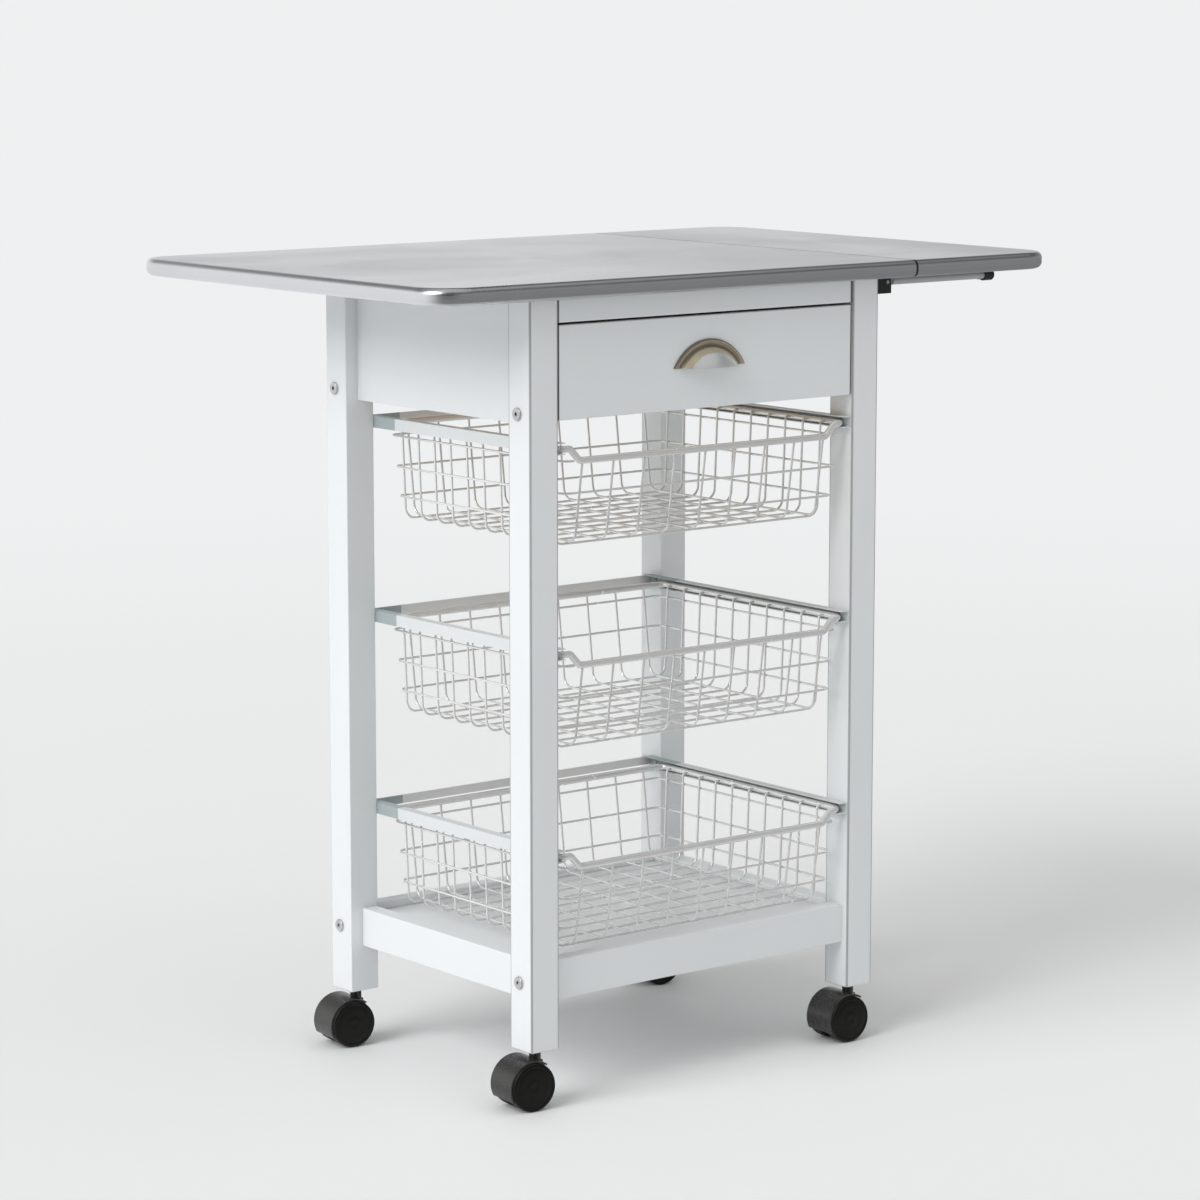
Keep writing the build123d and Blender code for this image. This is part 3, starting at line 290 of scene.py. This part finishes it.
def painted_rod(name):
    """Grey lacquer on rod with small dull rubs."""
    material, n = new_material(name)
    cloud = n.noise(30.0, detail=5.0)
    rub = n.noise(150.0, (0.4, 3.0, 3.0), detail=7.0, roughness=0.8)
    colour = n.blend(cloud, (0.47, 0.485, 0.50), (0.56, 0.575, 0.59))
    colour = n.blend(n.spread(rub, 0.0, 0.6, 0.64, 0.72), colour, (0.66, 0.67, 0.68))
    roughness = n.spread(rub, 0.28, 0.50, 0.3, 0.75)
    n.finish(colour, roughness, n.bump(rub, 0.00002, 0.35), Metallic=0.35)
    return material


def coated_steel(name, shade, axis, start, outward):
    """Powder-coated steel with an orange-peel skin, rubs and painted shade towards corners, blue-grey beyond
    a start in millimetres.
    """
    material, n = new_material(name)
    cloud = n.noise(16.0, detail=5.0)
    peel = n.noise(900.0, detail=3.0)
    rub = n.noise(190.0, (3.0, 0.4, 3.0), detail=7.0, roughness=0.8)
    colour = n.blend(cloud, tuple(0.95 * c for c in shade), shade)
    colour = n.blend(n.spread(rub, 0.0, 0.35, 0.66, 0.76), colour, (0.60, 0.60, 0.60))
    at_end = n.spread(n.reading(axis), 0.0, 1.0, MM * start, MM * (start + LINE_FADE * outward))
    colour = n.blend(at_end, colour, n.blend(cloud, tuple(0.85 * c for c in BLUE_GREY), BLUE_GREY))
    # Painted shade: darker towards corners and joints
    corner_shade = n.spread(n.corners(0.006), 0.35, 0.0, 0.2, 0.8)
    colour = n.blend(corner_shade, colour, tuple(0.55 * c for c in shade))
    roughness = n.spread(rub, 0.34, 0.50, 0.3, 0.75)
    n.finish(colour, roughness, n.bump(peel, 0.00002, 0.5))
    return material


def moulded_plastic(name, rough, shade):
    """Black moulded plastic with a fine grained skin, grey rubs and dust in its corners."""
    material, n = new_material(name)
    cloud = n.noise(35.0, detail=5.0)
    skin = n.noise(1500.0, detail=2.0)
    rub = n.noise(210.0, (1.0, 1.0, 0.5), detail=9.0, roughness=0.85, distortion=1.5)
    colour = n.blend(cloud, (shade, shade, shade * 0.92), (shade * 1.9, shade * 1.85, shade * 1.7))
    colour = n.blend(n.spread(rub, 0.0, 0.55, 0.66, 0.78), colour, (0.11, 0.11, 0.105))
    dust_and_shade = n.spread(n.corners(0.004), 0.35, 0.0, 0.15, 0.7)
    colour = n.blend(dust_and_shade, colour, (0.07, 0.066, 0.06))
    roughness = n.spread(rub, rough - 0.08, rough + 0.14, 0.3, 0.75)
    relief = n.bump(skin, 0.00003, 0.35)
    n.finish(colour, roughness, relief, Specular_IOR_Level=0.5)
    return material


def wheel_plastic(name, centre, axis):
    """Hard black wheel plastic: turned rings on the face and a dusty, worn tread."""
    material, n = new_material(name)
    where = n.add("ShaderNodeTexCoord").outputs["Object"]
    offset = n.add("ShaderNodeVectorMath", {0: where, 1: centre}, operation="SUBTRACT").outputs["Vector"]
    along = n.along(offset, axis)
    length = n.add("ShaderNodeVectorMath", {0: offset}, operation="LENGTH").outputs["Value"]
    square = n.maths("SUBTRACT", n.maths("MULTIPLY", length, length), n.maths("MULTIPLY", along, along))
    radius = n.maths("SQRT", n.maths("MAXIMUM", square, 0.0))
    rings = n.maths("SINE", n.maths("MULTIPLY", radius, 2 * pi / (MM * RING_PITCH)))
    grit = n.noise(480.0, detail=6.0, roughness=0.75)
    cloud = n.noise(40.0, detail=5.0)
    tread = n.spread(radius, 0.0, 1.0, MM * TREAD_EDGE[0], MM * TREAD_EDGE[1])
    dusty = n.maths("MULTIPLY", tread, n.spread(cloud, 0.25, 0.9, 0.3, 0.7))
    colour = n.blend(cloud, (0.0035, 0.0034, 0.0028), (0.0070, 0.0068, 0.0056))
    colour = n.blend(n.spread(grit, 0.0, 0.14, 0.64, 0.78), colour, (0.05, 0.049, 0.044))
    colour = n.blend(n.maths("MULTIPLY", dusty, 0.45), colour, (0.09, 0.088, 0.08))
    roughness = n.maths("ADD", n.spread(cloud, 0.30, 0.42), n.maths("MULTIPLY", dusty, 0.3))
    relief = n.bump(rings, 0.00002, 0.25)
    relief = n.bump(grit, 0.00003, 0.3, relief)
    n.finish(colour, roughness, relief, Specular_IOR_Level=0.22)
    return material


def aged_pull(name):
    """Satin nickel dome inside a bronzed, darkened rim."""
    material, n = new_material(name)
    where = n.add("ShaderNodeTexCoord").outputs["Object"]
    centre = tuple(MM * c for c in PULL_CENTRE)
    offset = n.add("ShaderNodeVectorMath", {0: where, 1: centre}, operation="SUBTRACT").outputs["Vector"]
    flat = n.add("ShaderNodeVectorMath", {0: offset, 1: (1.0, 0.0, 1.0)}, operation="MULTIPLY")
    radius = n.add("ShaderNodeVectorMath", {0: flat.outputs["Vector"]}, operation="LENGTH").outputs["Value"]
    cloud = n.noise(90.0, detail=6.0, roughness=0.7)
    fine = n.noise(700.0, detail=3.0)
    edge = n.maths("ADD", radius, n.spread(cloud, -0.0009, 0.0009))
    satin = n.blend(cloud, (0.80, 0.80, 0.80), (0.90, 0.90, 0.90))
    tan = n.blend(cloud, (0.60, 0.51, 0.37), (0.78, 0.69, 0.53))
    share = n.maths("MULTIPLY", edge, 10.0)
    bronzed = n.ramp(share, [(place, (float(kind > 0),) * 3) for place, kind in PULL_BANDS])
    darkened = n.ramp(share, [(place, (float(kind > 1),) * 3) for place, kind in PULL_BANDS])
    colour = n.blend(bronzed, satin, tan)
    colour = n.blend(n.maths("MULTIPLY", darkened, 0.7), colour, (0.14, 0.12, 0.09))
    grime = n.spread(n.corners(0.0035), 0.75, 0.0, 0.35, 0.90)
    colour = n.blend(grime, colour, (0.055, 0.04, 0.025))
    roughness = n.maths("ADD", n.spread(cloud, 0.24, 0.36), n.maths("MULTIPLY", grime, 0.25))
    n.finish(colour, roughness, n.bump(fine, 0.00001, 0.4), Metallic=0.6)
    return material


def bare_wood(name, stretch, dark, light):
    """Clear lacquered wood with long grain lines and short pores."""
    material, n = new_material(name)
    bands = n.noise(26.0, stretch, detail=5.0, roughness=0.6, distortion=1.4)
    rings = n.maths("FRACT", n.maths("MULTIPLY", bands, 9.0))
    fibre = n.noise(300.0, tuple(s * 1.6 for s in stretch), detail=7.0, roughness=0.75)
    pores = n.noise(700.0, stretch, detail=4.0, roughness=0.8)
    colour = n.blend(rings, dark, light)
    colour = n.blend(n.spread(fibre, 0.0, 0.5, 0.45, 0.8), colour, tuple(0.86 * c for c in dark))
    colour = n.blend(n.spread(pores, 0.0, 0.55, 0.66, 0.76), colour, tuple(0.55 * c for c in dark))
    roughness = n.spread(fibre, 0.42, 0.58)
    relief = n.bump(fibre, 0.00006, 0.4)
    n.finish(colour, roughness, n.bump(pores, 0.00004, 0.3, relief))
    return material


def paint(node, material):
    """Gives a node of the CAD frame its material."""
    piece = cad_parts[node]
    piece.data.materials.clear()
    piece.data.materials.append(material)


ALONG_X = (0.06, 1.0, 1.0)
ALONG_Y = (1.0, 0.06, 1.0)
ALONG_Z = (1.0, 1.0, 0.06)

PINE = ((0.50, 0.36, 0.21), (0.66, 0.52, 0.34))
BLUE_GREY = (0.42, 0.48, 0.49)
grains = {"x": ALONG_X, "y": ALONG_Y, "z": ALONG_Z}
lacquer = {axis: lacquered_wood(f"lacquer_{axis}", grain) for axis, grain in grains.items()}
pine = {axis: bare_wood(f"pine_{axis}", grains[axis], *PINE) for axis in "xy"}
front_lacquer = lacquered_wood("front_lacquer", ALONG_X, FRONT_JOINTS)
steel_top = steel_sheet("steel_top")
steel = plated_metal("zinc_steel", (0.52, 0.52, 0.52), (0.68, 0.68, 0.68), 0.30)
white_runner = coated_steel("white_runner", (0.74, 0.765, 0.775), "Y", RUNNER_GREY_START, 1)
grey_bar = coated_steel("grey_bar", (0.80, 0.80, 0.79), "X", BAR_END, -1)
wire = bright_wire("bright_wire")
grey_rod = painted_rod("grey_rod")
black = moulded_plastic("black_plastic", 0.30, 0.011)
hood_black = moulded_plastic("hood_plastic", 0.26, 0.019)

for side in SIDES:
    post = (LEG_X[side], LEG_Y["front"])
    paint(f"leg_front_{side}", lacquered_wood(f"leg_lacquer_{side}", ALONG_Z, post=post))
    paint(f"leg_back_{side}", lacquer["z"])
for end, side in CORNERS:
    paint(f"caster_hood_{end}_{side}", hood_black)
    paint(f"caster_axle_{end}_{side}", steel)
for end in ENDS:
    paint(f"low_rail_{end}", lacquer["x"])
for side in SIDES:
    paint(f"low_rail_{side}", lacquer["y"])
    paint(f"side_panel_{side}", lacquer["y"])
    paint(f"drawer_side_{side}", pine["y"])
for node in ("back_panel", "shelf_board"):
    paint(node, lacquer["x"])
for node in ("front_top_rail", "drawer_front"):
    paint(node, front_lacquer)
for node in ("drawer_back", "drawer_cross_rail"):
    paint(node, pine["x"])
for node in ("drawer_bottom", "drawer_strips", "dowels"):
    paint(node, pine["y"])
for node in ("tabletop", "leaf"):
    paint(node, steel_top)
for node in ("leg_bolts", "barrel_nuts", "frame_screws", "leaf_screws", "pull_screws"):
    paint(node, steel)
for node in ("hinge_plates_fixed", "hinge_plates_leaf", "hinge_pins", "stay_pins", "caster_stems"):
    paint(node, steel)
paint("basket_runners", white_runner)
paint("rear_bars", grey_bar)
for node in ("basket_1", "basket_2", "basket_3"):
    paint(node, wire)
for node in ("stay_blocks", "stay_elbows", "caster_sockets"):
    paint(node, black)
paint("stay_rods", grey_rod)
paint("cup_pull", aged_pull("aged_pull"))


# Wheels
def arc(centre, radius, start, end, steps=6):
    """Points of an arc in a section, as (radius from the axle, place along the axle)."""
    angles = [radians(start + (end - start) * i / steps) for i in range(steps + 1)]
    return [(centre[0] + radius * cos(a), centre[1] + radius * sin(a)) for a in angles]


def wheel_section():
    """Half of a wheel's section from the hub's inner end out to the middle of its cap."""
    inner, outer, rim = WHEEL_INNER, WHEEL_OUTER, WHEEL_RADIUS
    points = [(2.6, inner + 9.0), (2.6, inner), (6.3, inner), (6.5, inner + 0.2), (6.5, inner + 10.0)]
    points += [(rim - 3.0, inner + 10.0), (rim - 3.0, inner + 0.2), (rim - 2.8, inner)]
    points += arc((rim - 1.5, inner + 1.5), 1.5, -90, 0)
    points += [(rim, inner + 4.0), (rim - 0.25, inner + 4.4), (rim - 0.25, inner + 4.8), (rim, inner + 5.2)]
    points += arc((rim - 3.0, outer - 3.0), 3.0, 0, 80, 8)
    points += [(21.2, outer), (20.9, outer - 0.1), (20.6, outer - 0.4), (20.2, outer - 0.4)]
    points += [(19.9, outer - 0.25), (13.0, outer - 0.35), (7.6, outer - 0.4), (7.3, outer - 0.3)]
    points += [(7.0, outer - 0.2), (3.6, outer - 0.2), (3.1, outer - 0.35), (0.0, outer - 0.35)]
    return points


def turned_piece(name, section, centre, axis, steps=96):
    """A solid of revolution from (radius, along) points in millimetres."""
    axis = Vector(axis).normalized()
    first = axis.cross(Vector((0, 0, 1))).normalized()
    second = axis.cross(first)
    mesh = bpy.data.meshes.new(name)
    bm = bmesh.new()
    rows = []
    for radius, along in section:
        row = []
        for i in range(steps if radius > 0 else 1):
            turn = 2 * pi * i / steps
            spot = Vector(centre) + axis * along + (first * cos(turn) + second * sin(turn)) * radius
            row.append(bm.verts.new(spot * MM))
        rows.append(row)
    for near, far in zip(rows, rows[1:]):
        for i in range(steps):
            j = (i + 1) % steps
            if len(far) == 1:
                bm.faces.new((near[i], near[j], far[0]))
            else:
                bm.faces.new((near[i], near[j], far[j], far[i]))
    hub_end = rows[0]
    bm.faces.new(hub_end)
    bmesh.ops.recalc_face_normals(bm, faces=bm.faces)
    bm.to_mesh(mesh)
    bm.free()
    for face in mesh.polygons:
        face.use_smooth = True
    mesh.set_sharp_from_angle(angle=radians(42))
    piece = bpy.data.objects.new(name, mesh)
    bpy.context.scene.collection.objects.link(piece)
    return piece


for end, side in CORNERS:
    turn = radians(CASTER_TURN[end, side])
    centre = (LEG_X[side] + CASTER_TRAIL * cos(turn), LEG_Y[end] + CASTER_TRAIL * sin(turn), WHEEL_HEIGHT)
    axle = Vector((-sin(turn), cos(turn), 0))
    plastic = wheel_plastic(f"wheel_plastic_{end}_{side}", tuple(MM * c for c in centre), tuple(axle))
    for letter, out in (("a", -1), ("b", 1)):
        body = f"wheel_{end}_{side}_{letter}"
        wheel = turned_piece(f"dressed_{body}", wheel_section(), centre, axle * out)
        wheel.data.materials.append(plastic)
        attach(wheel, body)
        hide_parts(body)


# Floor
def floor_material():
    """A plain pale floor that runs into the backdrop far off; in reflections its far part glows as painted
    light, a dim room's floor lighter towards the lit side.
    """
    material, n = new_material("floor_pale")
    cloud = n.noise(0.8, detail=3.0)
    colour = n.blend(cloud, (0.930, 0.930, 0.925), (0.950, 0.950, 0.945))
    inputs = {"Base Color": colour, "Roughness": n.spread(cloud, 0.55, 0.65), "Specular IOR Level": 0.25}
    shader = n.add("ShaderNodeBsdfPrincipled", inputs)
    where = n.add("ShaderNodeTexCoord").outputs["Object"]
    away = n.add("ShaderNodeVectorMath", {0: where}, operation="LENGTH").outputs["Value"]
    outward = n.add("ShaderNodeVectorMath", {0: where}, operation="NORMALIZE").outputs["Vector"]
    # Painted light: in reflections the far floor glows, brighter towards the lit side
    mirrored = n.spread(n.along(outward, LIT_SIDE), *FLOOR_LEVELS, *ROOM_TURN)
    ray = n.add("ShaderNodeLightPath").outputs
    level = n.either(ray["Is Glossy Ray"], BACKDROP, mirrored)
    far = n.add("ShaderNodeEmission", {"Color": (*ROOM_TINT, 1.0), "Strength": level})
    seen = n.maths("MAXIMUM", ray["Is Camera Ray"], ray["Is Glossy Ray"])
    fades = zip(FLOOR_FADE_SEEN, FLOOR_FADE_MIRRORED)
    start, reach = [n.either(ray["Is Glossy Ray"], seen_at, mirrored_at) for seen_at, mirrored_at in fades]
    share = n.spread(n.maths("SUBTRACT", away, start), 0.0, 1.0, 0.0, reach)
    inputs = {0: n.maths("MULTIPLY", share, seen), 1: shader.outputs["BSDF"], 2: far.outputs["Emission"]}
    blend = n.add("ShaderNodeMixShader", inputs)
    n.add("ShaderNodeOutputMaterial", {"Surface": blend.outputs["Shader"]})
    return material


floor_mesh = bpy.data.meshes.new("floor")
half = FLOOR_SIZE / 2
floor_corners = [(-half, -half, 0), (half, -half, 0), (half, half, 0), (-half, half, 0)]
floor_mesh.from_pydata(floor_corners, [], [(0, 1, 2, 3)])
floor = bpy.data.objects.new("floor", floor_mesh)
bpy.context.scene.collection.objects.link(floor)
floor.data.materials.append(floor_material())

# World: pale walls, brighter at the back and left, with dim upper walls and camera side in reflections
world = bpy.data.worlds.new("room")
bpy.context.scene.world = world
world.use_nodes = True
w = Nodes(world.node_tree)
direction = w.add("ShaderNodeTexCoord").outputs["Generated"]
wall = w.spread(w.along(direction, LIT_SIDE), *WALL_LEVELS, *ROOM_TURN)
dim_side = w.spread(w.along(direction, CAMERA_SIDE), 1.0, 0.06, 0.78, 0.97)
upward = w.along(direction, UP)
upper_wall = w.spread(upward, 1.0, 0.10, 0.28, 0.60)
ceiling = w.spread(upward, 0.10, 0.50, 0.66, 0.88)
overhead = w.maths("MAXIMUM", upper_wall, ceiling)
mirrored = w.maths("MULTIPLY", wall, w.maths("MULTIPLY", dim_side, overhead))
ray = w.add("ShaderNodeLightPath").outputs
seen = w.maths("MAXIMUM", ray["Is Camera Ray"], ray["Is Transmission Ray"])
level = w.either(seen, w.either(ray["Is Glossy Ray"], WORLD_FILL, mirrored), BACKDROP)
background = w.add("ShaderNodeBackground", {"Color": (*ROOM_TINT, 1.0), "Strength": level})
w.add("ShaderNodeOutputWorld", {"Surface": background.outputs["Background"]})


# Lamps
def soft_lamp(name, toward, strength, spread, colour=(1.0, 1.0, 1.0)):
    """A wide, even studio light that comes from one direction."""
    lamp = bpy.data.lights.new(name, "SUN")
    lamp.energy = strength
    lamp.angle = radians(spread)
    lamp.color = colour
    piece = bpy.data.objects.new(name, lamp)
    piece.rotation_euler = Vector(toward).to_track_quat("Z", "Y").to_euler()
    bpy.context.scene.collection.objects.link(piece)


soft_lamp("lamp_left", (-0.80, -0.06, 0.60), KEY_LIGHT, 38.0, (0.99, 0.995, 1.0))
soft_lamp("lamp_above", (0.15, -0.25, 0.95), TOP_LIGHT, 70.0)

# Camera
camera_data = bpy.data.cameras.new("camera")
camera_data.lens = CAMERA_LENS
camera_data.sensor_width = 36.0
camera = bpy.data.objects.new("camera", camera_data)
camera.location = CAMERA_PLACE
camera.rotation_euler = (radians(90.0 - CAMERA_DIP), 0.0, radians(-CAMERA_TURN))
bpy.context.scene.collection.objects.link(camera)
bpy.context.scene.camera = camera
bpy.context.scene.view_settings.view_transform = "Standard"
